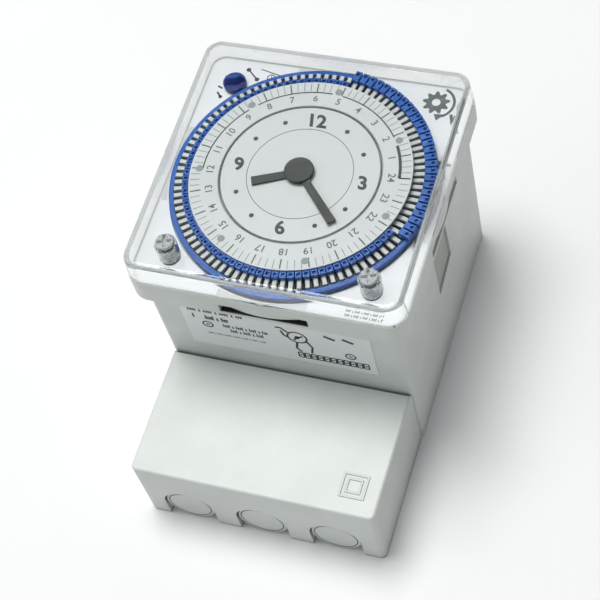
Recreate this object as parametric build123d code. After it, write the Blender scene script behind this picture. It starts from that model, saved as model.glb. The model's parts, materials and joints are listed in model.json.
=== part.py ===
"""Programmable 24-hour timer, 72 x 72 mm front, lying on its back.

Millimetres.  +Z points out of the dial, +Y towards 12 o'clock, +X to the right.
Every function works in the dial's own frame, whose Z axis is the hands' axis and
whose z = 0 is the back plane.  The export moves everything by DIAL_Y, so that the
origin is the centre of the footprint on the back plane.
"""
import os
from math import atan2, cos, degrees, pi, radians, sin

from build123d import *

# ---------------------------------------------------------------- driving dimensions
COVER_HALF = 36.0          # half of the 72 mm front
CASE_HALF = 33.0           # half of the square case behind the collar
TERMINAL_REACH = 68.5      # dial axis to the outer face of the terminal cover's end wall
DIAL_Y = (TERMINAL_REACH - COVER_HALF) / 2

WALL = 1.8
SHELF_Z = 54.6             # underside of the collar
COLLAR_Z = 62.2            # top of the collar and of the front plate
COVER_Z = 69.6             # top of the clear cover
COVER_WALL = 1.4
COVER_TOP_HALF = 35.3
COVER_CORNER = 5.0
PLATE_HALF = 34.4
PLATE_THICK = 2.0

WINDOW_HALF = 11.4         # openings in the collar's sides
WINDOW_LOW = 56.0
WINDOW_HIGH = 59.0
TONGUE_LOW = 56.9          # lower rim of the round dial well seen through them

# program disc, from the centre outwards
FACE_R = 20.2
DISC_IN_R = 20.5
DISC_OUT_R = 28.1
CARRIER_IN_R = 24.5
RIM_IN_R = 32.35
RIM_WALL_R = 33.25         # the rim's skirt hangs outside the carrier from here
CARRIER_R = 33.6
DISC_TOP = 66.2
DISC_PLATE_LOW = 65.2
LIP_IN_R = 26.7            # outside this radius the disc is a thin lip over the tappets
LIP_LOW = 65.76
CARRIER_LOW = 62.6
COMB_LOW = 63.5
RIM_TOP = 63.9
COMB_HIGH = 64.4
FINGER_HALF = 0.54
COMB_ROOT_R = 27.0
FINGER_OUT_R = 32.2
TAPPETS = 96
STEP = 360 / TAPPETS
MIDNIGHT = 83.2            # clockwise angle of the 24 mark from 12 o'clock
TAPPET_IN_R = 26.95
TAPPET_LEN = 2.95
TAPPET_WIDE = 1.66
TAPPET_TOP = 65.7
TAPPET_TRAVEL = 3.9
NOTCH_FROM, NOTCH_TO = 1.65, 2.45
NOTCH_HALF = 0.42
NOTCH_DEEP = 0.6
BLADE_X = (0.6, 0.98)      # the blade hangs in the gap clockwise of its own finger
BLADE_FROM, BLADE_TO = 0.15, 1.05
BLADE_LOW = 61.3
ON_FROM, ON_TO = 22, 5     # hours between which the tappets are pushed outwards
FIRST_SINGLE, LAST_SINGLE = 14, 25

# hands and their axis
HOUR_ANGLE = 247.0
MINUTE_ANGLE = 136.5
HOUR_LEN = 12.1
MINUTE_LEN = 17.9
ARBOR_R = 1.5
PIPE_R = 2.4
TUBE_R = 4.9
SLEEVE_R = 6.4
RUN = 0.05                 # radial running clearance

# movement
CENTRES = 12.0             # distance between meshing wheels
FRONT_FRAME = (52.0, 53.5)
REAR_FRAME = (36.0, 37.5)
FRAME_HALF = 26.0
FRAME_SCREWS = ((23, -21), (-23, -21), (-20, 20), (6, 22))
IDLER_PIN_R = 0.8
MOTOR_R = 17.5
MOTOR_SHAFT_R = 0.9

# base, terminals and their cover
BASE_HALF = 31.2
BASE_FLOOR = 3.0
TERMINAL_HALF = 32.5
TERMINAL_TOP = 24.3
TERMINAL_JOIN = -33.25
ARCH_X = 20.0
ARCH_R = 6.9
ARCH_Z = 6.9
KNOCKOUT_GAP = 0.45
KNOCKOUT_SINK = 0.5        # the round knock-outs lie this far behind the end wall's face
KNOCKOUT_THICK = 0.6
POLES = 5
POLE_PITCH = 9.0
SLOT_X = 25.0
SLOT_Y = -61.0

# controls and cover screws
KNOB = (-26.4, 26.2)
COVER_SCREW = (25.9, -27.2)
SCREW_HEAD_R = 2.3
SCREW_SHANK_R = 1.85
SCREW_SEAT = 64.3
SCREW_TOP = 70.0
BOSS_R = 2.8
BOSS_LOW = 63.4
LEVER_PIVOT = (28.5, 24.5)
NOSE_R = 31.96             # the lever's nose rests this far out, outside the tappets' blades
NOSE_ANGLE = MIDNIGHT - 3 * STEP + 1.44
NOSE_HALF = 0.42
NOSE_LEN = 2.0
PLUNGER_X = 18.5


# ---------------------------------------------------------------- helpers
def slab(x, y, z, radius=0.0):
    """A block between pairs of x, y and z values, with rounded upright corners."""
    width, depth = x[1] - x[0], y[1] - y[0]
    outline = RectangleRounded(width, depth, radius) if radius else Rectangle(width, depth)
    block = extrude(outline, z[1] - z[0])
    return Pos((x[0] + x[1]) / 2, (y[0] + y[1]) / 2, z[0]) * block


def square(half, z, radius=0.0):
    return slab((-half, half), (-half, half), z, radius)


def disc(radius, z, centre=(0, 0)):
    cylinder = Cylinder(radius, z[1] - z[0], align=(Align.CENTER, Align.CENTER, Align.MIN))
    return Pos(centre[0], centre[1], z[0]) * cylinder


def ring(outer, inner, z, centre=(0, 0)):
    return disc(outer, z, centre) - disc(inner, (z[0] - 1, z[1] + 1), centre)


def group(shapes):
    """Separate solids kept together in one node."""
    return Compound([solid for shape in shapes for solid in shape.solids()])


def clockwise(angle, shape):
    """Turns a shape drawn along +Y to an angle read clockwise from 12 o'clock."""
    return Rot(0, 0, -angle) * shape


def corners(x, y):
    return [(i * x, j * y) for i in (-1, 1) for j in (-1, 1)]


def gear(teeth, module, z, bore, centre=(0, 0), phase=0.0):
    """A spur wheel; phase is the angle of one tooth's middle, from +X."""
    pitch_r = teeth * module / 2
    root_r = pitch_r - 1.15 * module
    tip_r = pitch_r + 0.9 * module
    pitch = 2 * pi / teeth
    points = []
    for tooth in range(teeth):
        middle = radians(phase) + tooth * pitch
        for radius, offset in ((root_r, -0.30), (tip_r, -0.11), (tip_r, 0.11), (root_r, 0.30)):
            angle = middle + offset * pitch
            points.append((radius * cos(angle), radius * sin(angle)))
    wheel = extrude(make_face(Polyline(*points, close=True)), z[1] - z[0])
    wheel -= disc(bore, (-1, z[1] - z[0] + 1))
    return Pos(centre[0], centre[1], z[0]) * wheel


# ---------------------------------------------------------------- case
def kite():
    """The tapered clip recess in the left and right walls."""
    outline = Polyline((6.4, 43.5), (7.1, 29.0), (-4.6, 27.0), (-5.2, 45.2), (0, 49.5), close=True)
    recess = extrude(Plane.YZ * make_face(outline), 0.9)
    return Pos(CASE_HALF - 0.9, 0, 0) * recess


def well_tongues():
    """The stretches of the round dial well that stand in the collar's four openings."""
    well = ring(COVER_HALF, PLATE_HALF, (TONGUE_LOW, COLLAR_Z))
    reach = slab((-WINDOW_HALF, WINDOW_HALF), (-37, -32), (TONGUE_LOW, COLLAR_Z))
    return [Rot(0, 0, 90 * quarter) * (well & reach) for quarter in range(4)]


def clock_housing():
    case = square(CASE_HALF, (0, SHELF_Z + 1.4), 1.6)
    collar = square(COVER_HALF, (SHELF_Z, COLLAR_Z), COVER_CORNER)
    shell = case + collar
    shell = fillet(shell.edges().filter_by(Plane.XY).group_by(Axis.Z)[1], 0.4)
    shell -= square(BASE_HALF, (-1, SHELF_Z + 2))
    shell -= square(PLATE_HALF, (SHELF_Z + 1.4, COLLAR_Z + 1), 3.4)
    for quarter in range(4):
        turn = Rot(0, 0, 90 * quarter)
        shell -= turn * slab((-WINDOW_HALF, WINDOW_HALF), (-37, -34), (WINDOW_LOW, WINDOW_HIGH))
    shell += well_tongues()
    shell -= kite()
    shell -= mirror(kite(), Plane.YZ)
    for x, y in corners(BASE_HALF - 2.6, BASE_HALF - 2.6):
        shell += slab((x - 2.6, x + 2.6), (y - 2.6, y + 2.6), (BASE_FLOOR, 26))
        shell -= disc(1.2, (2, 20), (x, y))
    shell -= slab((-BASE_HALF, BASE_HALF), (-CASE_HALF - 1, -BASE_HALF), (-1, 21.5))
    return shell


def front_plate():
    top = COLLAR_Z
    low = COLLAR_Z - PLATE_THICK
    plate = square(PLATE_HALF, (low, top), 3.4) - well_tongues()
    for x, y in FRAME_SCREWS:
        plate += disc(3.0, (FRONT_FRAME[1], low), (x, y))
        plate -= disc(1.2, (50, low - 1), (x, y))
    plate -= disc(10.0, (low - 1, top + 1))
    plate -= ring(CARRIER_R + 0.3, COMB_ROOT_R - 0.1, (61.0, top + 1))
    plate -= slab((28.7, 33.9), (7.4, 12.3), (low - 1, top + 1))
    for side in (-1, 1):
        plate -= disc(2.5, (low - 1, top + 1), (side * COVER_SCREW[0], COVER_SCREW[1]))
    plate -= disc(1.65, (low - 1, top + 1), KNOB)
    return plate


def clear_cover():
    height = COVER_Z - COLLAR_Z
    slope = degrees(atan2(COVER_HALF - COVER_TOP_HALF, height))
    outer = extrude(RectangleRounded(2 * COVER_HALF, 2 * COVER_HALF, COVER_CORNER), height, taper=slope)
    outer = fillet(outer.edges().group_by(Axis.Z)[-1], 1.5)
    inner_half = COVER_HALF - COVER_WALL
    hollow = extrude(
        RectangleRounded(2 * inner_half, 2 * inner_half, COVER_CORNER - COVER_WALL),
        height - COVER_WALL,
        taper=slope,
    )
    cover = Pos(0, 0, COLLAR_Z) * (outer - hollow)
    for side in (-1, 1):
        centre = (side * COVER_SCREW[0], COVER_SCREW[1])
        cover += disc(BOSS_R, (BOSS_LOW, COVER_Z - 1), centre)
        cover -= disc(SCREW_HEAD_R + RUN, (SCREW_SEAT, COVER_Z + 1), centre)
        cover -= disc(SCREW_SHANK_R + RUN, (BOSS_LOW - 1, SCREW_SEAT + 1), centre)
    return cover


def cover_screw(side):
    x, y = side * COVER_SCREW[0], COVER_SCREW[1]
    head = disc(SCREW_HEAD_R, (SCREW_SEAT, SCREW_TOP), (x, y))
    head = fillet(head.edges().group_by(Axis.Z)[-1], 0.4)
    screw = head + disc(SCREW_SHANK_R, (57.0, SCREW_SEAT), (x, y))
    for turn in (0, 90):
        screw -= Pos(x, y, SCREW_TOP - 0.4) * Rot(0, 0, turn + 20) * Box(3.6, 0.8, 1.8)
    return screw


def rating_label():
    return slab((-25, 25), (-CASE_HALF - 0.15, -CASE_HALF), (31.8, 51.5))


# ---------------------------------------------------------------- base and terminals
def wall_base():
    base = square(BASE_HALF, (0, BASE_FLOOR))
    base += slab((-30.4, 30.4), (-66.4, -BASE_HALF), (0, BASE_FLOOR))
    for x in (-29.6, 29.6):
        base += slab((x - 0.8, x + 0.8), (-66.4, -33.5), (BASE_FLOOR, 10))
    for x, y in corners(26, 20):
        base += disc(2.6, (BASE_FLOOR, 13), (x, y))
        base -= disc(1.1, (5, 14), (x, y))
    for x, y in corners(BASE_HALF - 2.6, BASE_HALF - 2.6):
        base -= disc(1.5, (-1, 4), (x, y))
        base -= disc(2.6, (-1, 1.8), (x, y))
    base -= disc(4.2, (-1, 4), (0, 14))
    base -= slab((-2.2, 2.2), (14, 22), (-1, 4))
    base -= disc(2.2, (-1, 4), (0, 22))
    for x in (-SLOT_X, SLOT_X):
        base -= slab((x - 4, x + 4), (SLOT_Y - 2.2, SLOT_Y + 2.2), (-1, 4), 2.19)
    return base


def pole_x(index):
    return (index - (POLES - 1) / 2) * POLE_PITCH


def terminal_block():
    half = POLES * POLE_PITCH / 2 + 1
    block = slab((-half, half), (-56, -36), (BASE_FLOOR, 17), 0.8)
    block += slab((-half, half), (-48, -36), (17, 20.5), 0.8)
    for index in range(POLES):
        x = pole_x(index)
        block -= slab((x - 2.9, x + 2.9), (-53, -45), (5, 13.5))
        block -= disc(2.7, (13, 18), (x, -51))
        block -= Pos(x, -55, 8.2) * Rot(90, 0, 0) * Cylinder(1.85, 8)
        block -= slab((x - 2.1, x + 2.1), (-46, -35), (8.4, 10.0))
    return block


def terminal_clamps():
    clamps = []
    for index in range(POLES):
        x = pole_x(index)
        clamp = slab((x - 2.8, x + 2.8), (-52.9, -48.6), (5, 13.4))
        clamp -= slab((x - 1.9, x + 1.9), (-54, -48), (6, 10.6))
        clamp -= disc(1.5, (10, 14), (x, -51))
        clamps.append(clamp)
    return group(clamps)


def terminal_screws():
    screws = []
    for index in range(POLES):
        x = pole_x(index)
        screw = disc(2.4, (13.6, 16.0), (x, -51)) + disc(1.5, (9.8, 13.6), (x, -51))
        screw -= Pos(x, -51, 16) * Rot(0, 0, 25 * index) * Box(5, 0.8, 2.2)
        screws.append(screw)
    return group(screws)


def contact_blades():
    blades = []
    for index in range(POLES):
        x = pole_x(index)
        blade = slab((x - 2.0, x + 2.0), (-48.0, -24.0), (8.6, 9.4))
        blade += slab((x - 2.0, x + 2.0), (-24.8, -24.0), (8.6, 13.0))
        blades.append(blade)
    return group(blades)


def arch(x, radius, y, low):
    """An upright arch-shaped block across y, standing on z = low."""
    round_top = Pos(x, (y[0] + y[1]) / 2, ARCH_Z) * Rot(90, 0, 0) * Cylinder(radius, y[1] - y[0])
    legs = slab((x - radius, x + radius), y, (low, ARCH_Z))
    return round_top + legs


def terminal_cover():
    y = (-TERMINAL_REACH, TERMINAL_JOIN)
    outer = slab((-TERMINAL_HALF, TERMINAL_HALF), y, (0, TERMINAL_TOP))
    outer = fillet(outer.edges().filter_by(Axis.Z).group_by(Axis.Y)[0], 1.6)
    top = outer.faces().sort_by(Axis.Z)[-1]
    outer = fillet(top.edges(), 0.7)
    inner_half = TERMINAL_HALF - WALL
    hollow = slab((-inner_half, inner_half), (y[0] + WALL, y[1] + 1), (-1, TERMINAL_TOP - WALL))
    cover = outer - hollow
    for x in (-ARCH_X, 0, ARCH_X):
        cover -= arch(x, ARCH_R, (y[0] - 1, y[0] + WALL + 1), -1)
        bridge_z = ARCH_Z + ARCH_R
        bridge_y = (y[0] + KNOCKOUT_SINK, y[0] + WALL)
        cover += slab((x - 1, x + 1), bridge_y, (bridge_z - KNOCKOUT_GAP, bridge_z + 1))
    mark = ring_square(3.3, 0.45) + ring_square(2.0, 0.45)
    cover += Pos(25.3, -60.7, TERMINAL_TOP) * mark
    return cover


def ring_square(half, width):
    """One raised square outline of the double-insulation symbol."""
    outline = Rectangle(2 * half, 2 * half) - Rectangle(2 * (half - width), 2 * (half - width))
    return extrude(outline, 0.15)


def cable_knockouts():
    tabs = []
    face = -TERMINAL_REACH + KNOCKOUT_SINK
    for x in (-ARCH_X, 0, ARCH_X):
        tab = Cylinder(ARCH_R - KNOCKOUT_GAP, KNOCKOUT_THICK)
        tabs.append(Pos(x, face + KNOCKOUT_THICK / 2, ARCH_Z) * Rot(90, 0, 0) * tab)
    return group(tabs)


def base_screws():
    screws = []
    for x, y in corners(BASE_HALF - 2.6, BASE_HALF - 2.6):
        screw = disc(2.5, (0.3, 1.8), (x, y)) + disc(1.2, (1.8, 12), (x, y))
        screw -= Pos(x, y, 0.3) * Box(3.6, 0.7, 1.2)
        screw -= Pos(x, y, 0.3) * Box(0.7, 3.6, 1.2)
        screws.append(screw)
    return group(screws)


# ---------------------------------------------------------------- program disc
def program_disc():
    plate = ring(LIP_IN_R, DISC_IN_R, (DISC_PLATE_LOW, DISC_TOP))
    plate += ring(DISC_OUT_R, LIP_IN_R - 0.5, (LIP_LOW, DISC_TOP))
    plate += ring(DISC_IN_R + 0.8, DISC_IN_R, (64.0, DISC_PLATE_LOW))
    plate += ring(DISC_IN_R + 0.8, TUBE_R + RUN, (64.0, 64.9))
    plate += ring(SLEEVE_R, TUBE_R + RUN, (53.8, 64.0))
    plate += ring(LIP_IN_R, LIP_IN_R - 0.9, (COMB_HIGH, DISC_PLATE_LOW))
    return plate


def disc_wheel():
    return gear(32, 0.5, (54.8, 56.0), SLEEVE_R)


def segment_carrier():
    carrier = ring(RIM_WALL_R, CARRIER_IN_R, (CARRIER_LOW, COMB_LOW))
    slot_x = (BLADE_X[0] - 0.08, BLADE_X[1] + 0.08)
    slot_y = (TAPPET_IN_R + BLADE_FROM - 0.1, TAPPET_IN_R + TAPPET_TRAVEL + BLADE_TO + 0.1)
    slot = slab(slot_x, slot_y, (CARRIER_LOW - 1, COMB_LOW + 1))
    return carrier - [tappet_turn(i, slot) for i in range(TAPPETS)]


def carrier_rim():
    rim = ring(CARRIER_R, RIM_IN_R, (COMB_LOW, RIM_TOP))
    return rim + ring(CARRIER_R, RIM_WALL_R, (CARRIER_LOW, COMB_LOW))


def segment_comb():
    z = (COMB_LOW, COMB_HIGH)
    comb = ring(COMB_ROOT_R, CARRIER_IN_R + 0.1, z)
    finger = slab((-FINGER_HALF, FINGER_HALF), (COMB_ROOT_R - 0.1, FINGER_OUT_R), z)
    return comb + [tappet_turn(i, finger) for i in range(TAPPETS)]


def tappet_angle(index):
    return MIDNIGHT - STEP * (index + 0.5)


def tappet_turn(index, shape):
    return clockwise(tappet_angle(index), shape)


def is_on(index):
    hour = index / 4
    return hour >= ON_FROM or hour < ON_TO


def tappet(index):
    inner = TAPPET_IN_R + (TAPPET_TRAVEL if is_on(index) else 0)
    half = TAPPET_WIDE / 2
    head_low = COMB_HIGH + 0.05
    head = slab((-half, half), (inner, inner + TAPPET_LEN), (head_low, TAPPET_TOP))
    notch_y = (inner + NOTCH_FROM, inner + NOTCH_TO)
    head -= slab((-NOTCH_HALF, NOTCH_HALF), notch_y, (TAPPET_TOP - NOTCH_DEEP, TAPPET_TOP + 1))
    blade = slab(BLADE_X, (inner + BLADE_FROM, inner + BLADE_TO), (BLADE_LOW, head_low))
    return tappet_turn(index, head + blade)


def single(index):
    return FIRST_SINGLE <= index <= LAST_SINGLE


def tappet_group(on):
    return group(tappet(i) for i in range(TAPPETS) if is_on(i) == on and not single(i))


# ---------------------------------------------------------------- clock face and hands
def clock_face():
    face = ring(FACE_R, PIPE_R + RUN, (65.4, DISC_TOP))
    return face + ring(TUBE_R, PIPE_R + RUN, (FRONT_FRAME[0], 65.4))


def hand(length, root_half, tip_half, hub_r, bore, z, angle):
    outline = Polyline(
        (-root_half, 0), (-tip_half, length), (tip_half, length), (root_half, 0), close=True
    )
    blade = Pos(0, 0, z[0]) * extrude(make_face(outline), z[1] - z[0])
    blade = blade + disc(hub_r, z) - disc(bore, (z[0] - 1, z[1] + 1))
    return clockwise(angle, blade)


def hour_hand():
    return hand(HOUR_LEN, 1.0, 1.25, 3.4, PIPE_R, (66.5, 66.85), HOUR_ANGLE)


def minute_hand():
    return hand(MINUTE_LEN, 0.9, 1.15, 3.6, ARBOR_R, (67.05, 67.4), MINUTE_ANGLE)


def hand_cap():
    cap = disc(3.75, (67.4, 67.85))
    return fillet(cap.edges().group_by(Axis.Z)[-1], 0.2)


# ---------------------------------------------------------------- movement
def minute_arbor():
    return disc(ARBOR_R, (36.2, 67.4))


def minute_wheel():
    wheel = gear(48, 0.4, (39.0, 40.2), ARBOR_R)
    wheel += ring(2.2, ARBOR_R, (40.2, 41.8))
    return wheel + gear(12, 0.5, (41.8, 43.8), ARBOR_R)


def hour_wheel():
    bore = ARBOR_R + RUN
    pipe = ring(PIPE_R, bore, (44.4, 66.85))
    wheel = gear(48, 0.4, (45.2, 46.4), bore)
    return pipe + wheel + gear(24, 0.5, (48.4, 49.8), bore)


def reduction_wheel():
    centre = (CENTRES, 0)
    bore = IDLER_PIN_R + RUN
    spacer = ring(1.6, bore, (37.7, 42.2), centre)
    wheel = gear(36, 0.5, (42.2, 43.4), bore, centre, 5)
    return spacer + wheel + gear(12, 0.4, (43.4, 46.8), bore, centre, 15)


def disc_idler():
    centre = (-CENTRES, 0)
    bore = IDLER_PIN_R + RUN
    spacer = ring(1.5, bore, (37.7, 48.4), centre)
    wheel = gear(24, 0.5, (48.4, 49.8), bore, centre, 7.5)
    neck = ring(1.8, bore, (49.8, 54.6), centre)
    return spacer + wheel + neck + gear(16, 0.5, (54.6, 56.2), bore, centre, 11.25)


def idler_pins():
    return group([
        disc(IDLER_PIN_R, (REAR_FRAME[0], FRONT_FRAME[1]), (CENTRES, 0)),
        disc(IDLER_PIN_R, (REAR_FRAME[0], 57.0), (-CENTRES, 0)),
    ])


def frame_posts():
    return corners(22, 14)


def movement_front_frame():
    plate = square(FRAME_HALF, FRONT_FRAME, 2)
    plate -= disc(TUBE_R, (50, 55))
    plate -= disc(2.2, (50, 55), (-CENTRES, 0))
    plate -= disc(IDLER_PIN_R, (50, 55), (CENTRES, 0))
    for x, y in FRAME_SCREWS:
        plate -= disc(1.3, (50, 55), (x, y))
    return plate


def movement_rear_frame():
    plate = square(FRAME_HALF, REAR_FRAME, 2)
    plate -= disc(ARBOR_R + RUN, (35, 39))
    for x in (-CENTRES, CENTRES):
        plate -= disc(IDLER_PIN_R, (35, 39), (x, 0))
    return plate - disc(MOTOR_SHAFT_R + RUN, (35, 39), (0, -CENTRES))


def movement_pillars():
    return group(disc(2.0, (REAR_FRAME[1], FRONT_FRAME[0]), post) for post in frame_posts())


def movement_screws():
    screws = []
    for x, y in FRAME_SCREWS:
        screw = disc(2.2, (50.4, FRONT_FRAME[0]), (x, y)) + disc(1.2, (FRONT_FRAME[0], 59.0), (x, y))
        screw -= Pos(x, y, 50.4) * Box(3.2, 0.7, 1.2)
        screws.append(screw)
    return group(screws)


def motor_case():
    centre = (0, -CENTRES)
    case = disc(MOTOR_R, (21.0, REAR_FRAME[0]), centre)
    case = fillet(case.edges().group_by(Axis.Z)[0], 1.0)
    return case - disc(MOTOR_SHAFT_R + RUN, (29, 37), centre)


def motor_pinion():
    centre = (0, -CENTRES)
    shaft = disc(MOTOR_SHAFT_R, (29.5, 40.6), centre)
    return shaft + gear(12, 0.4, (38.6, 40.6), MOTOR_SHAFT_R, centre, 15)


def circuit_board():
    board = slab((-29, 29), (-25.5, 25.5), (13.0, 14.6))
    for x, y in corners(26, 20):
        board -= disc(1.3, (12, 16), (x, y))
    return board


def board_screws():
    screws = []
    for x, y in corners(26, 20):
        screw = disc(2.2, (14.6, 16.2), (x, y)) + disc(1.1, (7, 14.6), (x, y))
        screw -= Pos(x, y, 16.2) * Box(3.2, 0.6, 1.2)
        screws.append(screw)
    return group(screws)


def reserve_battery():
    battery = disc(7.6, (14.6, 30.0), (-17, 15))
    return fillet(battery.edges().group_by(Axis.Z)[-1], 0.8)


def supply_capacitor():
    block = slab((0, 24), (10, 19), (14.6, 29.0))
    return fillet(block.edges().filter_by(Axis.Z), 1.0)


def motor_support():
    """The spacer ring that carries the motor above the circuit board."""
    return ring(12.0, 10.5, (14.6, 21.0), (0, -CENTRES))


# ---------------------------------------------------------------- switch and selector
def microswitch_case():
    case = slab((12, 25), (13.6, 19.6), (FRONT_FRAME[1], 59.4))
    case -= slab((PLUNGER_X - 1.25, PLUNGER_X + 1.25), (17.0, 20), (57.35, 59.45))
    return case


def microswitch_plunger():
    return slab((PLUNGER_X - 1.2, PLUNGER_X + 1.2), (17.5, 21.4), (57.4, 59.3))


def switch_lever():
    pivot_x, pivot_y = LEVER_PIVOT
    nose_x = (NOSE_R + 0.5) * sin(radians(NOSE_ANGLE))
    nose_y = (NOSE_R + 0.5) * cos(radians(NOSE_ANGLE))
    z = (57.4, 59.3)
    outline = Polyline(
        (nose_x - 0.5, nose_y - 0.7), (nose_x + 1.0, nose_y - 0.7),
        (pivot_x + 2.2, pivot_y + 0.4), (pivot_x, pivot_y + 1.9),
        (PLUNGER_X - 1.2, 23.2), (PLUNGER_X - 1.2, 21.4), (pivot_x - 2.0, pivot_y - 1.6),
        close=True,
    )
    lever = Pos(0, 0, z[0]) * extrude(make_face(outline), z[1] - z[0])
    lever += disc(2.3, z, LEVER_PIVOT)
    lever -= disc(1.0 + RUN, (57, 60), LEVER_PIVOT)
    nose_high = CARRIER_LOW - 0.15
    nose = slab((-NOSE_HALF, NOSE_HALF), (NOSE_R, NOSE_R + NOSE_LEN), (z[0], nose_high))
    return lever + clockwise(NOSE_ANGLE, nose)


def lever_pin():
    return disc(1.0, (56.2, COLLAR_Z - PLATE_THICK), LEVER_PIVOT)


def selector_knob():
    x, y = KNOB
    knob = disc(3.0, (62.4, 63.9), KNOB) + disc(1.6, (56.6, 62.4), KNOB)
    outline = Polyline((-2.5, -0.9), (1.0, -1.2), (3.1, 0), (1.0, 1.2), (-2.5, 0.9), close=True)
    grip = extrude(make_face(outline), 2.2, dir=(0, 0, 1), taper=14)
    grip = Pos(x, y, 63.9) * Rot(0, 0, 17) * grip
    return knob + grip


def selector_switch():
    x, y = KNOB
    case = slab((x - 4.7, x + 4.7), (y - 4, y + 4.7), (55.6, COLLAR_Z - PLATE_THICK), 1.0)
    return case - disc(1.6 + RUN, (56.4, 61), KNOB)


NODES = {
    "wall_base": wall_base,
    "terminal_block": terminal_block,
    "terminal_clamps": terminal_clamps,
    "terminal_screws": terminal_screws,
    "contact_blades": contact_blades,
    "terminal_cover": terminal_cover,
    "cable_knockouts": cable_knockouts,
    "base_screws": base_screws,
    "clock_housing": clock_housing,
    "rating_label": rating_label,
    "front_plate": front_plate,
    "clear_cover": clear_cover,
    "cover_screw_left": lambda: cover_screw(-1),
    "cover_screw_right": lambda: cover_screw(1),
    "program_disc": program_disc,
    "disc_wheel": disc_wheel,
    "segment_carrier": segment_carrier,
    "carrier_rim": carrier_rim,
    "segment_comb": segment_comb,
    "tappets_on": lambda: tappet_group(True),
    "tappets_off": lambda: tappet_group(False),
    "clock_face": clock_face,
    "hour_hand": hour_hand,
    "minute_hand": minute_hand,
    "hand_cap": hand_cap,
    "minute_arbor": minute_arbor,
    "minute_wheel": minute_wheel,
    "hour_wheel": hour_wheel,
    "reduction_wheel": reduction_wheel,
    "disc_idler": disc_idler,
    "idler_pins": idler_pins,
    "movement_front_frame": movement_front_frame,
    "movement_rear_frame": movement_rear_frame,
    "movement_pillars": movement_pillars,
    "movement_screws": movement_screws,
    "motor_case": motor_case,
    "motor_support": motor_support,
    "motor_pinion": motor_pinion,
    "circuit_board": circuit_board,
    "board_screws": board_screws,
    "reserve_battery": reserve_battery,
    "supply_capacitor": supply_capacitor,
    "microswitch_case": microswitch_case,
    "microswitch_plunger": microswitch_plunger,
    "switch_lever": switch_lever,
    "lever_pin": lever_pin,
    "selector_knob": selector_knob,
    "selector_switch": selector_switch,
}


def tappet_name(index):
    return f"tappet_{index // 4:02d}h{15 * (index % 4):02d}"


def main():
    os.makedirs("parts", exist_ok=True)
    place = Pos(0, DIAL_Y, 0)
    for name, make in NODES.items():
        export_step(place * make(), f"parts/{name}.step")
    for index in range(FIRST_SINGLE, LAST_SINGLE + 1):
        export_step(place * tappet(index), f"parts/{tappet_name(index)}.step")


main()
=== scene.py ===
"""Looks of the programmable timer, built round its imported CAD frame.

Lengths in the named values are millimetres unless they say otherwise; MM turns them into
Blender's metres.  Angles round the dial are degrees, clockwise from 12 o'clock.
"""
import json
import math

import bmesh
import bpy
from mathutils import Matrix, Quaternion, Vector


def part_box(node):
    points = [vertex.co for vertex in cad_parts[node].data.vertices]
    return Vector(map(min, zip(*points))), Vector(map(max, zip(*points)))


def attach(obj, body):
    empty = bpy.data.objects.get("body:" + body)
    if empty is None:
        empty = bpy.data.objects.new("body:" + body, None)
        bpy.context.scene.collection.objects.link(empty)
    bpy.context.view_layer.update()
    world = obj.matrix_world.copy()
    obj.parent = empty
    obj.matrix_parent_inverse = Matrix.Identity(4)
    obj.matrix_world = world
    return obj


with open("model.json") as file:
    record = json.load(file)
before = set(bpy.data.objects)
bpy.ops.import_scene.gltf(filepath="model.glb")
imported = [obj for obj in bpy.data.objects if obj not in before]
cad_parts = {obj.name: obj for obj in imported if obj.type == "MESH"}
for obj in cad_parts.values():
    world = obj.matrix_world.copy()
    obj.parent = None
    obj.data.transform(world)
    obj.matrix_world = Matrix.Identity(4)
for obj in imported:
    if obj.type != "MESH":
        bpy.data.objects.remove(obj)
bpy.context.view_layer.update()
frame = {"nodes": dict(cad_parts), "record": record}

MM = 0.001

# ---------------------------------------------------------------- places read from the frame
LOW, HIGH = 0, 1


def middle(node):
    low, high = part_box(node)
    return (low + high) / 2


AXIS = middle("hand_cap")
FACE_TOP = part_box("clock_face")[HIGH].z
DISC_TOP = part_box("program_disc")[HIGH].z
PLATE_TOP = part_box("front_plate")[HIGH].z
LABEL_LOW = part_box("rating_label")[LOW]
FACE_R = (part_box("clock_face")[HIGH].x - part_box("clock_face")[LOW].x) / 2 / MM
KNOB = middle("selector_knob")

# ---------------------------------------------------------------- printed scales
INK = 0.03                    # thickness of a printed mark
NUMERAL_R = 16.15             # clock numerals 12, 3, 6 and 9
NUMERAL_HIGH = 4.0
NUMERAL_WEIGHT = 0.034
NUMERAL_LEAN = -0.2           # the clock numerals stand a little back
HOUR_DOT_R = 16.35
HOUR_DOT = 0.62
FACE_LINE_R = 13.4
FACE_LINE_WIDE = 0.18
FACE_GAP = 0.3                # open ring between the clock face and the day disc
CLOCK_HOURS = 12
NUMERAL_EVERY = 3             # hours from one numeral to the next; dots stand between
MIDNIGHT = 83.2               # where the day ring's 24 stands at rest
HOURS = 24
HOUR_TURN = 360 / HOURS
QUARTERS = 4
SCALE_R = 23.0                # 24-hour numbers
SCALE_HIGH = 1.9
SCALE_WEIGHT = 0.012
TICK_IN_R = 25.3
TICK_OUT_R = 27.7
TICK_WIDE = 0.22
HOUR_TICK_WIDE = 0.36
HOUR_TICK_MORE = 0.3          # the hours' ticks reach this much further in
ARC_R = 24.9
ARC_WIDE = 0.34
NIGHT_ARC_WIDE = 0.75         # the last stretch before midnight is printed heavier
GAP_SHADE_WIDE = 0.24               # width of each painted shade ring along the edges at the clock face's gap
PIP_R = 25.8
PIP = 0.95
PIPS = 7
PIP_CLEAR = 1.35              # the arc stops this far from a pip's middle
FIRST_PIP = 5.9

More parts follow.
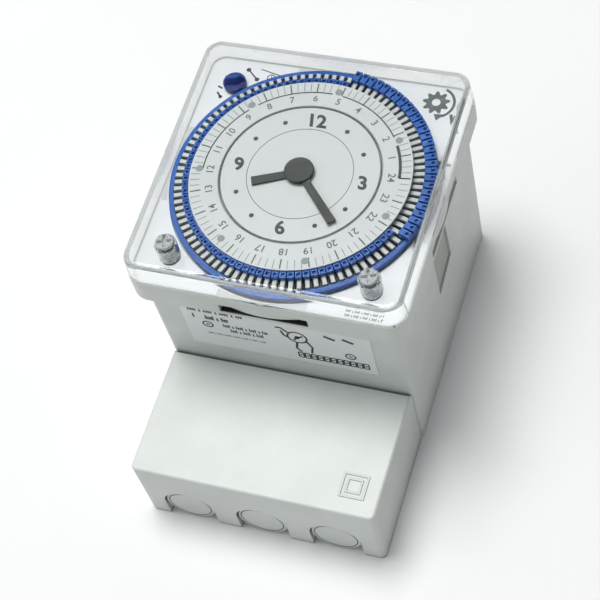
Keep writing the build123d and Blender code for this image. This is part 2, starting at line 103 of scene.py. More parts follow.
# ---------------------------------------------------------------- rating label, from its lower left
LABEL_LINES = (               # x, y, length, height, step, share of the step inked
    (1.4, 16.6, 15.5, 1.5, 0.62, 0.72),
    (2.2, 13.2, 1.4, 1.9, 0.62, 0.75),
    (5.6, 13.2, 7.2, 1.9, 0.62, 0.75),
    (10.0, 10.6, 12.8, 1.5, 0.5, 0.64),
    (11.6, 8.5, 9.6, 1.5, 0.5, 0.64),
    (5.2, 6.0, 16.5, 0.7, 0.34, 0.5),
)
LABEL_RINGS = ((5.0, 9.4, 2.6), (42.4, 5.9, 2.5))       # x, y and size
LABEL_CLOCK = (30.4, 12.2)
LABEL_WIRES = (
    ((25.2, 15.6), (26.6, 15.9), (28.2, 14.0)),
    ((30.0, 9.6), (29.4, 6.6), (30.6, 5.2)),
    ((32.6, 11.0), (33.8, 8.2), (33.2, 5.2)),
    ((26.4, 14.4), (27.0, 12.2), (28.0, 11.6)),
)
LABEL_DASHES = (37.8, 42.6)
BOXES = 11                    # the drawn row of terminals
BOX_FROM = 29.4
BOX_PITCH = 1.72
BOX_WIDE = 1.3
BOX_LOW, BOX_HIGH = 2.2, 4.6

# ---------------------------------------------------------------- painted shade: collar window strip and side clips
WINDOW_FLOOR = 56.0
SHADE_STRIP_X = 11.2
SHADE_STRIP_FROM, SHADE_STRIP_TO = -35.9, -32.2
SHADE_STRIP_RIBS = 5
CLIP_FLOOR = 32.12            # the recesses' floors lie this far from the middle
CLIP_THICK = 0.35
KITE = ((6.2, 43.1), (0, 49.0), (-5.0, 44.9), (-4.4, 27.3), (6.8, 29.2))

# ---------------------------------------------------------------- knock-outs
CREVICE_SHADE_REACH = 1.2             # painted shade darkens gaps narrower than this
GROOVE_IN = 0.72              # the break-out groove runs this far inside a knock-out's edge
GROOVE_WIDE = 0.3

# ---------------------------------------------------------------- view and light
VIEW_TARGET = Vector((-0.15, -1.49, 35.0)) * MM
VIEW_DISTANCE = 441.15 * MM
VIEW_AZIMUTH = 32.54
VIEW_ELEVATION = 57.39
VIEW_ROLL = -18.17
LENS = 102.98
# dark flags: azimuth, elevation, cosine at the soft edge, cosine where it is fully dark, its grey
FLAGS = (
    (-147.5, 57.4, 0.84, 0.93, 0.05),   # where the flat cover would mirror the sky
    (90.0, 8.0, 0.45, 0.9, 0.12),       # beside the right-hand walls
)
SKY = 0.46                    # strength of the studio's soft overhead light
SKY_LOW, SKY_HIGH = (0.14, 0.145, 0.15, 1), (0.95, 0.98, 1.0, 1)
SKY_HIGH_FROM = 0.55          # the share of the way up at which the sky is fully bright
# azimuth, elevation, distance in metres, side in metres, watts, colour
KEY_LIGHT = (-125, 77, 1.6, 0.8, 21.5, (1.0, 0.995, 0.985))
SIDE_FILL = (-75, 30, 1.2, 0.7, 1.6, (1.0, 1.0, 1.0))
FLOOR_HALF = 3.0              # metres


# ---------------------------------------------------------------- materials
def srgb(code):
    """Linear colour from a six-figure hexadecimal sRGB code."""
    values = [int(code[i:i + 2], 16) / 255 for i in (0, 2, 4)]
    return [v / 12.92 if v <= 0.04045 else ((v + 0.055) / 1.055) ** 2.4 for v in values]


class Shader:
    """A Principled material, with short calls for the nodes that feed it."""

    def __init__(self, name, roughness, metallic=0.0, ior=1.49):
        self.material = bpy.data.materials.new(name)
        self.material.use_nodes = True
        self.nodes = self.material.node_tree.nodes
        self.links = self.material.node_tree.links
        self.bsdf = self.nodes["Principled BSDF"]
        self.bsdf.inputs["Roughness"].default_value = roughness
        self.bsdf.inputs["Metallic"].default_value = metallic
        self.bsdf.inputs["IOR"].default_value = ior
        self.place = self.nodes.new("ShaderNodeTexCoord").outputs["Object"]

    def node(self, kind, **inputs):
        made = self.nodes.new(kind)
        for name, value in inputs.items():
            self.feed(made.inputs[name.replace("_", " ")], value)
        return made

    def feed(self, socket, value):
        if isinstance(value, bpy.types.NodeSocket):
            self.links.new(value, socket)
        else:
            socket.default_value = value

    def stretched(self, stretch):
        mapping = self.node("ShaderNodeMapping", Vector=self.place)
        mapping.inputs["Scale"].default_value = stretch
        return mapping.outputs["Vector"]

    def noise(self, size, detail=3.0, roughness=0.55, stretch=None):
        """Noise with features about size millimetres across, from 0 to 1."""
        vector = self.stretched(stretch) if stretch else self.place
        made = self.node(
            "ShaderNodeTexNoise", Vector=vector, Scale=1 / (size * MM), Detail=detail, Roughness=roughness
        )
        return made.outputs["Fac"]

    def span(self, value, low, high, to_low, to_high):
        made = self.node("ShaderNodeMapRange", Value=value)
        made.inputs["From Min"].default_value = low
        made.inputs["From Max"].default_value = high
        made.inputs["To Min"].default_value = to_low
        made.inputs["To Max"].default_value = to_high
        return made.outputs["Result"]

    def maths(self, operation, first, second=0.5):
        made = self.nodes.new("ShaderNodeMath")
        made.operation = operation
        self.feed(made.inputs[0], first)
        self.feed(made.inputs[1], second)
        return made.outputs["Value"]

    def blend(self, factor, first, second):
        made = self.nodes.new("ShaderNodeMix")
        made.data_type = "RGBA"
        self.feed(made.inputs["Factor"], factor)
        self.feed(made.inputs["A"], first)
        self.feed(made.inputs["B"], second)
        return made.outputs["Result"]

    def rounded(self, radius):
        """Normals of the edges as if they were rounded by radius millimetres."""
        made = self.node("ShaderNodeBevel", Radius=radius * MM)
        made.samples = 4
        return made.outputs["Normal"]

    def edges(self, rounded):
        """1 along the rounded edges, 0 on the flats."""
        geometry = self.nodes.new("ShaderNodeNewGeometry")
        dot = self.nodes.new("ShaderNodeVectorMath")
        dot.operation = "DOT_PRODUCT"
        self.feed(dot.inputs[0], rounded)
        self.feed(dot.inputs[1], geometry.outputs["Normal"])
        return self.span(dot.outputs["Value"], 0.98, 0.8, 0, 1)

    def crevices(self, reach):
        """Ambient-occlusion mask for painted shade: 1 deep in gaps and inner corners narrower than reach
        millimetres, 0 in the open.
        """
        made = self.node("ShaderNodeAmbientOcclusion", Distance=reach * MM)
        made.samples = 8
        return self.span(made.outputs["AO"], 0.86, 0.5, 0, 1)

    def bump(self, height, distance, normal=None):
        made = self.node("ShaderNodeBump", Height=height, Distance=distance * MM)
        if normal:
            self.feed(made.inputs["Normal"], normal)
        self.feed(self.bsdf.inputs["Normal"], made.outputs["Normal"])

    def colour(self, value):
        self.feed(self.bsdf.inputs["Base Color"], value)


def moulded(name, code, roughness, grain=0.35, depth=0.012, drift=0.05, wear=0.35, edge=0.22, crevice_shade=0.0):
    """Moulded plastic: slow colour drift, fine grain, rubbed paler edges and painted shade in the gaps."""
    shader = Shader(name, roughness)
    base = srgb(code)
    dark = [v * (1 - drift) for v in base] + [1]
    pale = [min(1, v * (1 + drift)) for v in base] + [1]
    cloud = shader.span(shader.noise(14, 4), 0.3, 0.7, 0, 1)
    body = shader.blend(cloud, dark, pale)
    fleck = shader.span(shader.noise(0.5, 2), 0.35, 0.65, 0, 0.35)
    body = shader.blend(fleck, body, dark)
    # painted shade: ambient occlusion darkens the colour in gaps and inner corners
    if crevice_shade:
        body = shader.blend(shader.crevices(CREVICE_SHADE_REACH), body, [v * (1 - crevice_shade) for v in base] + [1])
    rounded = shader.rounded(edge)
    worn = shader.span(shader.noise(4), 0.35, 0.65, 0, wear)
    rubbed = shader.maths("MULTIPLY", shader.edges(rounded), worn)
    shader.colour(shader.blend(rubbed, body, [min(1, v * 1.25 + 0.02) for v in base] + [1]))
    patchy = shader.span(shader.noise(5, 4), 0.3, 0.7, roughness - 0.05, roughness + 0.05)
    smoother = shader.maths("MULTIPLY", rubbed, 0.15)
    shader.feed(shader.bsdf.inputs["Roughness"], shader.maths("SUBTRACT", patchy, smoother))
    shader.bump(shader.noise(grain, 2), depth, rounded)
    return shader.material


def pass_light(shader, tint):
    """Shadow and bounce rays go straight through, so that the parts below stay lit."""
    path = shader.nodes.new("ShaderNodeLightPath")
    passing = shader.maths("MAXIMUM", path.outputs["Is Shadow Ray"], path.outputs["Is Diffuse Ray"])
    clear = shader.node("ShaderNodeBsdfTransparent", Color=tint)
    mixed = shader.node("ShaderNodeMixShader", Fac=passing)
    shader.links.new(shader.bsdf.outputs["BSDF"], mixed.inputs[1])
    shader.links.new(clear.outputs["BSDF"], mixed.inputs[2])
    shader.links.new(mixed.outputs["Shader"], shader.nodes["Material Output"].inputs["Surface"])


def clear_plastic():
    """Polished clear acrylic, grey along its edges, with faint hairline scuffs."""
    shader = Shader("clear", 0.03)
    shader.bsdf.inputs["Transmission Weight"].default_value = 1
    tint = shader.span(shader.noise(25), 0.3, 0.7, 0, 1)
    shader.colour(shader.blend(tint, (0.975, 0.982, 0.982, 1), (0.985, 0.99, 0.99, 1)))
    scuffs = shader.noise(0.6, 5, 0.7, (1, 12, 1))
    shader.feed(shader.bsdf.inputs["Roughness"], shader.span(scuffs, 0.55, 0.8, 0.015, 0.09))
    shader.bump(shader.noise(9, 2), 0.006, shader.rounded(0.3))
    pass_light(shader, (0.97, 0.975, 0.975, 1))
    depth = shader.node("ShaderNodeVolumeAbsorption", Color=(0.5, 0.5, 0.55, 1), Density=40)
    shader.links.new(depth.outputs["Volume"], shader.nodes["Material Output"].inputs["Volume"])
    return shader.material


def frosted_plastic():
    """Milky translucent screws: cloudy inside, rubbed along the slots."""
    shader = Shader("frosted", 0.3)
    cloud = shader.span(shader.noise(1.1, 4), 0.35, 0.65, 0, 1)
    rounded = shader.rounded(0.25)
    body = shader.blend(cloud, srgb("b9bdbd") + [1], srgb("e2e5e6") + [1])
    shader.colour(shader.blend(shader.edges(rounded), body, srgb("f4f5f5") + [1]))
    shader.feed(shader.bsdf.inputs["Transmission Weight"], shader.span(cloud, 0, 1, 0.35, 0.6))
    shader.feed(shader.bsdf.inputs["Roughness"], shader.span(shader.noise(0.7), 0.3, 0.7, 0.18, 0.4))
    shader.bump(shader.noise(0.5, 3), 0.02, rounded)
    pass_light(shader, (0.85, 0.86, 0.87, 1))
    return shader.material


def metal(name, code, roughness, streak=(1, 1, 14), tarnish=0.25):
    """Plated metal: drawn streaks, dull patches and edges polished by handling."""
    shader = Shader(name, roughness, metallic=1.0)
    base = srgb(code)
    dull = [v * (1 - tarnish) for v in base] + [1]
    patches = shader.span(shader.noise(3, 5), 0.35, 0.7, 0, 1)
    rounded = shader.rounded(0.12)
    shine = shader.edges(rounded)
    body = shader.blend(patches, base + [1], dull)
    shader.colour(shader.blend(shine, body, [min(1, v * 1.15) for v in base] + [1]))
    streaks = shader.noise(0.4, 4, 0.6, streak)
    drawn = shader.span(streaks, 0.3, 0.7, roughness - 0.08, roughness + 0.12)
    shader.feed(shader.bsdf.inputs["Roughness"], drawn)
    shader.bump(streaks, 0.006, rounded)
    return shader.material


def moulded_knob(name, code, foot_shade, low, high):
    """Deep-coloured moulding with painted shade: the colour darkens towards the base, between two heights of
    the frame.
    """
    material = moulded(name, code, 0.3, depth=0.004, drift=0.12, edge=0.2)
    tree = material.node_tree
    bsdf = tree.nodes["Principled BSDF"]
    upper = bsdf.inputs["Base Color"].links[0].from_socket
    place = tree.nodes.new("ShaderNodeNewGeometry").outputs["Position"]
    split = tree.nodes.new("ShaderNodeSeparateXYZ")
    rise = tree.nodes.new("ShaderNodeMapRange")
    mix = tree.nodes.new("ShaderNodeMix")
    mix.data_type = "RGBA"
    tree.links.new(place, split.inputs[0])
    tree.links.new(split.outputs["Z"], rise.inputs["Value"])
    rise.inputs["From Min"].default_value = low
    rise.inputs["From Max"].default_value = high
    tree.links.new(rise.outputs["Result"], mix.inputs["Factor"])
    # painted shade: the lower part takes the darker colour
    mix.inputs["A"].default_value = srgb(foot_shade) + [1]
    tree.links.new(upper, mix.inputs["B"])
    tree.links.new(mix.outputs["Result"], bsdf.inputs["Base Color"])
    return material


def circuit_laminate():
    """Green solder mask over faint copper tracks."""
    shader = Shader("board", 0.3)
    tracks = shader.node("ShaderNodeTexVoronoi", Vector=shader.stretched((1, 1, 0.01)), Scale=1 / (3.2 * MM))
    tracks.feature = "DISTANCE_TO_EDGE"
    lines = shader.span(tracks.outputs["Distance"], 0.04, 0.08, 1, 0)
    shader.colour(shader.blend(lines, srgb("1c5a33") + [1], srgb("3d8a4e") + [1]))
    shader.bump(lines, 0.03, shader.rounded(0.1))
    return shader.material


def foil_label():
    """Silver-white polyester label: tiny metallic flakes under a satin lacquer."""
    shader = Shader("label", 0.38, metallic=0.1)
    flakes = shader.span(shader.noise(0.12, 1), 0.4, 0.6, 0, 1)
    shader.colour(shader.blend(flakes, srgb("dfe2e4") + [1], srgb("eceeef") + [1]))
    shader.feed(shader.bsdf.inputs["Roughness"], shader.span(shader.noise(2), 0.3, 0.7, 0.32, 0.46))
    shader.bump(shader.noise(6, 2), 0.02, shader.rounded(0.08))
    return shader.material


def ink(name, code, patchiness=0.25):
    """Screen-printed ink, a little thin in places."""
    shader = Shader(name, 0.55)
    base = srgb(code)
    thin = shader.span(shader.noise(0.4, 3), 0.5, 0.8, 0, patchiness)
    shader.colour(shader.blend(thin, base + [1], [v + 0.25 * (1 - v) for v in base] + [1]))
    shader.bump(shader.noise(0.15, 2), 0.004)
    return shader.material


def studio_floor():
    shader = Shader("floor", 0.7)
    paper = shader.span(shader.noise(60, 4), 0.3, 0.7, 0, 1)
    shader.colour(shader.blend(paper, (0.875, 0.88, 0.885, 1), (0.89, 0.895, 0.895, 1)))
    shader.bump(shader.noise(1.5, 3), 0.05)
    return shader.material


FINISHES = {
    "housing": moulded("housing", "d3d8d4", 0.4, grain=0.45, depth=0.015),
    "plate": moulded("plate", "eceff1", 0.4, depth=0.006),
    "clear": clear_plastic(),
    "dial_white": moulded("dial_white", "d0d5d4", 0.4, depth=0.004, drift=0.02),
    "blue": moulded("blue", "0c56a8", 0.34, depth=0.004, drift=0.14, edge=0.16),
    "finger_grey": moulded("finger_grey", "c8cecb", 0.42, depth=0.005, edge=0.3),
    "hand_grey": moulded("hand_grey", "101716", 0.55, depth=0.004, edge=0.1),
    "black": moulded("black", "16181a", 0.42, depth=0.006),
    "gear_white": moulded("gear_white", "ebe7da", 0.38, depth=0.005),
    "steel": metal("steel", "c4c7c8", 0.32),
    "brass": metal("brass", "d8b46a", 0.3, (1, 14, 1)),
    "frame_plastic": moulded("frame_plastic", "565a5c", 0.5),
    "block_grey": moulded("block_grey", "8b8f8e", 0.48),
    "motor_metal": metal("motor_metal", "b9bab4", 0.36, (14, 1, 1)),
    "board": circuit_laminate(),
    "wrap": moulded("wrap", "1f6b47", 0.3, depth=0.003),
    "component": moulded("component", "a63a22", 0.28, grain=2.0, depth=0.03),
    "label": foil_label(),
}
SPECIAL = {
    # the terminal cover and its knock-outs carry painted shade in their gaps
    "terminal_cover": moulded("terminal_grey", "d3d8d4", 0.4, grain=0.45, depth=0.015, crevice_shade=0.85),
    # painted shade: the tappet carrier is near-black to stand for the shade deep in its channel
    "segment_carrier": moulded("carrier_shade_black", "0a0b0c", 0.6, depth=0.006, wear=0.1),
    "cover_screw_left": frosted_plastic(),
    # the knob's second colour is painted shade at its base
    "selector_knob": moulded_knob("knob", "15409a", "170f48", PLATE_TOP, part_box("selector_knob")[HIGH].z),
}
SPECIAL["cover_screw_right"] = SPECIAL["cover_screw_left"]
SPECIAL["cable_knockouts"] = SPECIAL["terminal_cover"]
# painted shade: a darker grey than the housing, for the shade in the side recesses
CLIP_SHADE_FINISH = moulded("clip_shade_grey", "a9ada6", 0.46, grain=0.45, depth=0.012)
INKS = {
    "black": ink("ink_black", "202426"),
    "grey": ink("ink_grey", "565c5c"),
    "pale": ink("ink_pale", "8d9496"),
}


def finish_nodes():
    """Gives each CAD node the finish of its material slot in the record, or its own."""
    for part in frame["record"]["subparts"]:
        piece = frame["nodes"][part["node"]]
        piece.data.materials.clear()
        piece.data.materials.append(SPECIAL.get(part["node"], FINISHES[part["material_slot"]]))


# ---------------------------------------------------------------- printed marks
def dial_point(radius, angle):
    turn = math.radians(angle)
    return radius * math.sin(turn), radius * math.cos(turn)


class Print:
    """Ink laid on one flat face, gathered into a single mesh.

    Marks are drawn in millimetres in the face's own x and y; place puts them in the shared frame.
    """

    def __init__(self, place, thickness=INK):
        self.mesh = bmesh.new()
        self.place = place
        self.thickness = thickness

    def outline(self, points):
        low = [self.mesh.verts.new((x, y, 0)) for x, y in points]
        high = [self.mesh.verts.new((x, y, self.thickness)) for x, y in points]
        self.mesh.faces.new(high)
        self.mesh.faces.new(reversed(low))
        for i in range(len(points)):
            j = (i + 1) % len(points)
            self.mesh.faces.new((low[i], low[j], high[j], high[i]))

    def line(self, start, end, width):
        start, end = Vector(start), Vector(end)
        along = (end - start).normalized()
        side = Vector((-along.y, along.x)) * width / 2
        self.outline([start - side, end - side, end + side, start + side])

    def bar(self, x, y, width, height):
        self.line((x, y + height / 2), (x + width, y + height / 2), height)

    def spot(self, centre, radius, sides=28):
        turns = [2 * math.pi * i / sides for i in range(sides)]
        self.outline([(centre[0] + radius * math.cos(t), centre[1] + radius * math.sin(t)) for t in turns])

    def arc(self, radius, width, start, end, centre=(0, 0), step=3.0):
        """A curved line between two clockwise angles; a full turn makes a closed ring."""
        closed = abs(end - start) >= 360
        count = max(2, math.ceil(abs(end - start) / step))
        rows = []
        for i in range(count + (0 if closed else 1)):
            angle = start + (end - start) * i / count
            row = []
            for r in (radius - width / 2, radius + width / 2):
                x, y = dial_point(r, angle)
                for z in (0, self.thickness):
                    row.append(self.mesh.verts.new((centre[0] + x, centre[1] + y, z)))
            rows.append(row)
        steps = list(zip(rows, rows[1:] + (rows[:1] if closed else [])))
        for here, there in steps:
            for a, b in ((0, 1), (1, 3), (3, 2), (2, 0)):
                self.mesh.faces.new((here[a], here[b], there[b], there[a]))
        if not closed:
            for row, order in ((rows[0], (0, 2, 3, 1)), (rows[-1], (0, 1, 3, 2))):
                self.mesh.faces.new([row[i] for i in order])

    def text(self, words, height, centre=(0, 0), angle=0.0, weight=0.0, lean=0.0):
        """Figures of a given height, turned clockwise by angle about their own middle."""
        curve = bpy.data.curves.new("figures", "FONT")
        curve.body = words
        curve.offset = weight
        curve.shear = lean
        curve.extrude = 0.5
        curve.resolution_u = 6
        shape = bpy.data.objects.new("figures", curve)
        flat = bpy.data.meshes.new_from_object(shape)
        corners = [v.co for v in flat.vertices]
        low = Vector([min(c[i] for c in corners) for i in range(3)])
        high = Vector([max(c[i] for c in corners) for i in range(3)])
        size = height / (high.y - low.y)
        centred = Matrix.Translation(-(low + high) / 2)
        scaled = Matrix.Diagonal((size, size, self.thickness, 1))
        turned = Matrix.Rotation(-math.radians(angle), 4, "Z")
        lifted = Matrix.Translation((centre[0], centre[1], self.thickness / 2))
        flat.transform(lifted @ turned @ scaled @ centred)
        self.mesh.from_mesh(flat)
        bpy.data.objects.remove(shape)
        bpy.data.curves.remove(curve)
        bpy.data.meshes.remove(flat)

    def piece(self, name, material, body, slot):
        bmesh.ops.remove_doubles(self.mesh, verts=self.mesh.verts, dist=1e-4)
        bmesh.ops.recalc_face_normals(self.mesh, faces=self.mesh.faces)
        bmesh.ops.transform(self.mesh, matrix=self.place @ Matrix.Scale(MM, 4), verts=self.mesh.verts)
        data = bpy.data.meshes.new(name)
        self.mesh.to_mesh(data)
        self.mesh.free()
        data.materials.append(material)
        made = bpy.data.objects.new(name, data)
        bpy.context.scene.collection.objects.link(made)
        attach(made, body)
        return made


def on_top(height):
    """The plane of the dial at a height, with its origin on the hands' axis."""
    return Matrix.Translation((AXIS.x, AXIS.y, height))


def clock_print():
    numerals = Print(on_top(FACE_TOP))
    dots = Print(on_top(FACE_TOP))
    for hour in range(1, CLOCK_HOURS + 1):
        angle = 360 / CLOCK_HOURS * hour
        if hour % NUMERAL_EVERY:
            dots.spot(dial_point(HOUR_DOT_R, angle), HOUR_DOT)
        else:
            centre = dial_point(NUMERAL_R, angle)
            numerals.text(str(hour), NUMERAL_HIGH, centre, 0, NUMERAL_WEIGHT, NUMERAL_LEAN)
    numerals.piece("clock_numerals", INKS["black"], "case", "dial_white")
    dots.piece("hour_dots", INKS["black"], "case", "dial_white")
    line = Print(on_top(FACE_TOP))
    line.arc(FACE_LINE_R, FACE_LINE_WIDE, 0, 360)
    # painted shade: a ring along the face's rounded edge at the gap
    line.arc(FACE_R - GAP_SHADE_WIDE / 2, GAP_SHADE_WIDE, 0, 360)
    line.piece("clock_face_line_and_gap_shade", INKS["grey"], "case", "dial_white")


def day_angle(hour):
    """Where an hour of the day stands: the ring turns clockwise, so its hours run backwards."""
    return MIDNIGHT - HOUR_TURN * hour


def day_scale():
    numbers = Print(on_top(DISC_TOP))
    for hour in range(1, HOURS + 1):
        angle = day_angle(hour)
        numbers.text(str(hour), SCALE_HIGH, dial_point(SCALE_R, angle), angle, SCALE_WEIGHT)
    numbers.piece("day_scale_numbers", INKS["grey"], "day_disc", "dial_white")
    ticks, hour_ticks = Print(on_top(DISC_TOP)), Print(on_top(DISC_TOP))
    for quarter in range(HOURS * QUARTERS):
        angle = day_angle(quarter / QUARTERS)
        on_hour = quarter % QUARTERS == 0
        inner = TICK_IN_R - (HOUR_TICK_MORE if on_hour else 0)
        sheet = hour_ticks if on_hour else ticks
        width = HOUR_TICK_WIDE if on_hour else TICK_WIDE
        sheet.line(dial_point(inner, angle), dial_point(TICK_OUT_R, angle), width)
    ticks.piece("day_scale_ticks", INKS["pale"], "day_disc", "dial_white")
    hour_ticks.piece("day_scale_hour_ticks", INKS["grey"], "day_disc", "dial_white")


def day_arc():
    """The dark arc over the day hours, broken beside each pip, and the pips themselves."""
    arc = Print(on_top(DISC_TOP))
    start, end = day_angle(12), day_angle(0)
    pips = [FIRST_PIP + i * 360 / PIPS for i in range(-PIPS, PIPS)]
    gap = math.degrees(PIP_CLEAR / ARC_R)
    here = start
    for pip in [p for p in pips if start < p < end] + [end + gap]:
        if pip - gap > here:
            width = ARC_WIDE if pip < end else NIGHT_ARC_WIDE
            arc.arc(ARC_R, width, here, pip - gap)
        here = pip + gap
    arc.line(dial_point(ARC_R, end), dial_point(TICK_OUT_R, end), ARC_WIDE)
    arc.piece("day_hours_arc", INKS["black"], "day_disc", "dial_white")
    spots = Print(on_top(DISC_TOP), 2 * INK)
    for i in range(PIPS):
        spots.spot(dial_point(PIP_R, FIRST_PIP + i * 360 / PIPS), PIP)
    spots.piece("day_scale_pips", INKS["pale"], "day_disc", "dial_white")
    # painted shade: a ring along the disc's inner edge at the gap
    gap_ring_shade = Print(on_top(DISC_TOP))
    gap_ring_shade.arc(FACE_R + FACE_GAP + GAP_SHADE_WIDE / 2, GAP_SHADE_WIDE, 0, 360)
    gap_ring_shade.piece("day_disc_gap_shade", INKS["pale"], "day_disc", "dial_white")


def plate_symbols():
    """Generic marks round the selector: a closed contact, an open one and a small clock."""
    x, y = (KNOB.x - AXIS.x) / MM, (KNOB.y - AXIS.y) / MM
    marks = Print(on_top(PLATE_TOP))
    marks.line((x + 1.9, y + 5.5), (x + 5.0, y + 2.8), 0.4)
    for end in ((1.9, 5.5), (5.0, 2.8)):
        marks.spot((x + end[0], y + end[1]), 0.62)
    marks.line((x - 4.6, y - 0.9), (x - 3.2, y - 1.5), 0.5)
    marks.line((x - 4.2, y - 2.8), (x - 2.9, y - 4.2), 0.5)
    marks.spot((x - 2.9, y - 4.2), 0.5)
    marks.line((x + 5.2, y + 6.2), (x + 13.0, y + 4.5), 0.28)
    marks.arc(1.0, 0.28, 0, 360, (x + 8.6, y + 3.9))
    marks.line((x + 8.6, y + 3.9), (x + 8.6, y + 4.6), 0.22)
    marks.line((x + 8.6, y + 3.9), (x + 9.1, y + 3.6), 0.22)
    marks.piece("selector_symbols", INKS["black"], "case", "plate")


def setting_pictogram():
    """A cog, an arrow and a bar: turn the dial this way to set it."""
    mark = Print(on_top(PLATE_TOP))
    centre = (26.6, 29.6)
    teeth = 9
    outline = []
    for tooth in range(teeth):
        for part, radius in ((0.0, 2.5), (0.3, 3.5), (0.55, 3.5), (0.85, 2.5)):
            turn = 2 * math.pi * (tooth + part) / teeth
            outline.append((centre[0] + radius * math.cos(turn), centre[1] + radius * math.sin(turn)))
    mark.outline(outline)
    mark.arc(4.6, 0.7, 20, 150, centre)
    tip = dial_point(4.6, 158)
    mark.outline([
        (centre[0] + tip[0] - 1.5, centre[1] + tip[1] + 0.7),
        (centre[0] + tip[0] - 0.4, centre[1] + tip[1] - 1.2),
        (centre[0] + tip[0] + 1.2, centre[1] + tip[1] + 1.0),
    ])
    mark.line((31.2, 26.6), (33.0, 21.4), 0.8)
    mark.piece("setting_pictogram", INKS["grey"], "case", "plate")
    hole = Print(on_top(PLATE_TOP + INK * MM))
    hole.spot(centre, 1.1)
    hole.piece("setting_pictogram_hub", FINISHES["plate"], "case", "plate")


def small_print(sheet, x, y, length, height, step, weight=0.6):
    """A line of unreadable small print: upright strokes of varied height, some joined by dashes."""
    stroke = step * weight
    for i in range(int(length / step)):
        pattern = (5 * i * i + 3 * i) % 7
        left = x + i * step
        if pattern == 0:
            continue
        tall = height if pattern in (1, 4) else 0.72 * height
        sheet.bar(left, y, stroke, tall)
        if pattern in (2, 3, 5):
            sheet.bar(left, y + (tall - 0.18 * height) * (pattern % 2), step, 0.18 * height)


def plate_text():
    """Two lines of unreadable small print at the plate's lower right corner."""
    words = Print(on_top(PLATE_TOP))
    small_print(words, 20.6, -32.6, 9.6, 0.75, 0.32)
    small_print(words, 20.6, -33.8, 9.6, 0.75, 0.32)
    words.piece("plate_small_print", INKS["grey"], "case", "plate")


def label_print():
    """Generic rating print: unreadable lines, a small wiring diagram and a row of terminals."""
    place = Matrix.Translation((0, LABEL_LOW.y, 0)) @ Matrix.Rotation(math.pi / 2, 4, "X")
    left, base = LABEL_LOW.x / MM, LABEL_LOW.z / MM
    words = Print(place)
    for x, y, length, height, step, weight in LABEL_LINES:
        small_print(words, left + x, base + y, length, height, step, weight)
    for x, y, size in LABEL_RINGS:
        corner = (left + x, base + y)
        words.arc(size / 2, 0.4, 0, 360, (corner[0] + size / 2, corner[1] + size / 2))
        small_print(words, corner[0] + 0.5, corner[1] + 0.8, size - 0.9, 1.0, 0.45)
    words.piece("label_words", INKS["black"], "case", "label")
    diagram = Print(place)
    clock = (left + LABEL_CLOCK[0], base + LABEL_CLOCK[1])
    diagram.arc(2.5, 0.5, 0, 360, clock)
    for angle in (215, 60):
        hand = dial_point(1.9, angle)
        diagram.line(clock, (clock[0] + hand[0], clock[1] + hand[1]), 0.55)
    diagram.spot(clock, 0.7)
    for points in LABEL_WIRES:
        for start, end in zip(points, points[1:]):
            diagram.line((left + start[0], base + start[1]), (left + end[0], base + end[1]), 0.6)
    for x in LABEL_DASHES:
        diagram.line((left + x, base + 15.4), (left + x + 2.8, base + 14.2), 0.9)
    diagram.piece("label_diagram", INKS["black"], "case", "label")
    terminals = Print(place)
    low, high = base + BOX_LOW, base + BOX_HIGH
    for terminal in range(BOXES):
        near = left + BOX_FROM + terminal * BOX_PITCH
        far = near + BOX_WIDE
        for start, end in (
            ((near, low), (near, high)), ((near, low), (far, low)),
            ((near, high), (far, high)), ((far, low), (far, high)),
        ):
            terminals.line(start, end, 0.4)
        terminals.spot(((near + far) / 2, (low + high) / 2), 0.34, 12)
    terminals.piece("label_terminals", INKS["black"], "case", "label")


# ---------------------------------------------------------------- knock-outs, window and side clips
def knockout_grooves():
    """A dark printed ring just inside the edge of each round knock-out: painted shade standing in for the
    break-out groove.
    """
    low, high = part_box("cable_knockouts")
    radius = (high.z - low.z) / 2 / MM
    row = high.x / MM - radius
    groove_shade = Print(Matrix.Translation((0, low.y, 0)) @ Matrix.Rotation(math.pi / 2, 4, "X"))
    for x in (-row, 0, row):
        groove_shade.arc(radius - GROOVE_IN, GROOVE_WIDE, 0, 360, (x, low.z / MM + radius))
    groove_shade.piece("knockout_grooves", INKS["grey"], "terminal_lid", "housing")


def window_seal():
    """A dark ribbed strip on the floor of the collar's window above the label: painted shade for the shadow
    inside the window.
    """
    rib = (SHADE_STRIP_TO - SHADE_STRIP_FROM) / (2 * SHADE_STRIP_RIBS - 1)
    floor = Matrix.Translation((AXIS.x, AXIS.y, (WINDOW_FLOOR + 0.02) * MM))
    shade_strip = Print(floor, 0.2)
    shade_strip.bar(-SHADE_STRIP_X, SHADE_STRIP_FROM, 2 * SHADE_STRIP_X, SHADE_STRIP_TO - SHADE_STRIP_FROM)
    shade_strip.piece("window_seal", FINISHES["black"], "case", "black")
    ribs = Print(floor @ Matrix.Translation((0, 0, 0.2 * MM)), 0.25)
    for i in range(SHADE_STRIP_RIBS):
        ribs.bar(-SHADE_STRIP_X, SHADE_STRIP_FROM + 2 * i * rib, 2 * SHADE_STRIP_X, rib)
    ribs.piece("window_shade_strip_ribs", FINISHES["black"], "case", "black")


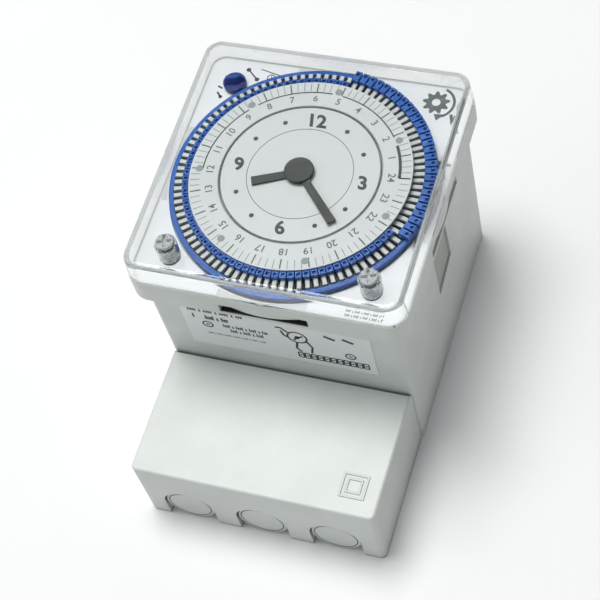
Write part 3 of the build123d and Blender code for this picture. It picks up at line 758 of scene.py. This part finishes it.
def side_clips():
    """Kite-shaped clips lying in the recesses of the left and right walls, in a darker grey that is painted
    shade for the recesses.
    """
    for side, name in ((1, "right"), (-1, "left")):
        turned = Matrix.Rotation(math.pi / 2, 4, "Z") @ Matrix.Rotation(math.pi / 2, 4, "X")
        across = turned if side > 0 else turned @ Matrix.Translation((0, 0, -CLIP_THICK * MM))
        floor = Matrix.Translation((side * CLIP_FLOOR * MM, AXIS.y, 0)) @ across
        clip = Print(floor, CLIP_THICK)
        clip.outline([(y, z) for y, z in KITE])
        piece = clip.piece(f"side_clip_{name}", CLIP_SHADE_FINISH, "case", "housing")
        bevel = piece.modifiers.new("rounded edges", "BEVEL")
        bevel.width = 0.12 * MM
        bevel.segments = 2


# ---------------------------------------------------------------- stage, lights and camera
def area_light(name, azimuth, elevation, distance, size, power, colour):
    """A square soft light aimed at the timer; azimuth 0 stands where -Y is, like the camera's."""
    lamp = bpy.data.lights.new(name, "AREA")
    lamp.shape = "SQUARE"
    lamp.size = size
    lamp.energy = power
    lamp.color = colour
    made = bpy.data.objects.new(name, lamp)
    bpy.context.scene.collection.objects.link(made)
    made.location = VIEW_TARGET + direction(azimuth, elevation) * distance
    made.rotation_mode = "QUATERNION"
    made.rotation_quaternion = (VIEW_TARGET - made.location).to_track_quat("-Z", "Y")


def direction(azimuth, elevation):
    a, e = math.radians(azimuth), math.radians(elevation)
    return Vector((math.sin(a) * math.cos(e), -math.cos(a) * math.cos(e), math.sin(e)))


def studio():
    world = bpy.data.worlds.new("studio")
    world.use_nodes = True
    tree = world.node_tree
    sky = tree.nodes["Background"]
    sky.inputs["Strength"].default_value = SKY
    ramp = tree.nodes.new("ShaderNodeValToRGB")
    ramp.color_ramp.elements[0].color = SKY_LOW
    ramp.color_ramp.elements[1].position = SKY_HIGH_FROM
    ramp.color_ramp.elements[1].color = SKY_HIGH
    way = tree.nodes.new("ShaderNodeTexCoord").outputs["Generated"]
    split = tree.nodes.new("ShaderNodeSeparateXYZ")
    tree.links.new(way, split.inputs[0])
    tree.links.new(split.outputs["Z"], ramp.inputs["Fac"])
    light = ramp.outputs["Color"]
    for azimuth, elevation, edge, core, grey in FLAGS:
        near = tree.nodes.new("ShaderNodeVectorMath")
        near.operation = "DOT_PRODUCT"
        near.inputs[1].default_value = direction(azimuth, elevation)
        tree.links.new(way, near.inputs[0])
        flag = tree.nodes.new("ShaderNodeMapRange")
        flag.inputs["From Min"].default_value = edge
        flag.inputs["From Max"].default_value = core
        tree.links.new(near.outputs["Value"], flag.inputs["Value"])
        flagged = tree.nodes.new("ShaderNodeMix")
        flagged.data_type = "RGBA"
        tree.links.new(flag.outputs["Result"], flagged.inputs["Factor"])
        tree.links.new(light, flagged.inputs["A"])
        flagged.inputs["B"].default_value = (grey, grey, 1.05 * grey, 1)
        light = flagged.outputs["Result"]
    tree.links.new(light, sky.inputs["Color"])
    bpy.context.scene.world = world
    bpy.context.scene.view_settings.view_transform = "Standard"
    area_light("key_light", *KEY_LIGHT)
    area_light("side_fill", *SIDE_FILL)

    data = bpy.data.meshes.new("floor")
    half = FLOOR_HALF
    corners = [(-half, -half, 0), (half, -half, 0), (half, half, 0), (-half, half, 0)]
    data.from_pydata(corners, [], [(0, 1, 2, 3)])
    data.materials.append(studio_floor())
    floor = bpy.data.objects.new("floor", data)
    bpy.context.scene.collection.objects.link(floor)


def camera():
    data = bpy.data.cameras.new("camera")
    data.lens = LENS
    made = bpy.data.objects.new("camera", data)
    bpy.context.scene.collection.objects.link(made)
    away = direction(VIEW_AZIMUTH, VIEW_ELEVATION)
    made.location = VIEW_TARGET + away * VIEW_DISTANCE
    made.rotation_mode = "QUATERNION"
    roll = Quaternion((0, 0, 1), math.radians(VIEW_ROLL))
    made.rotation_quaternion = (-away).to_track_quat("-Z", "Y") @ roll
    bpy.context.scene.camera = made


finish_nodes()
clock_print()
day_scale()
day_arc()
plate_symbols()
plate_text()
setting_pictogram()
label_print()
knockout_grooves()
window_seal()
side_clips()
studio()
camera()
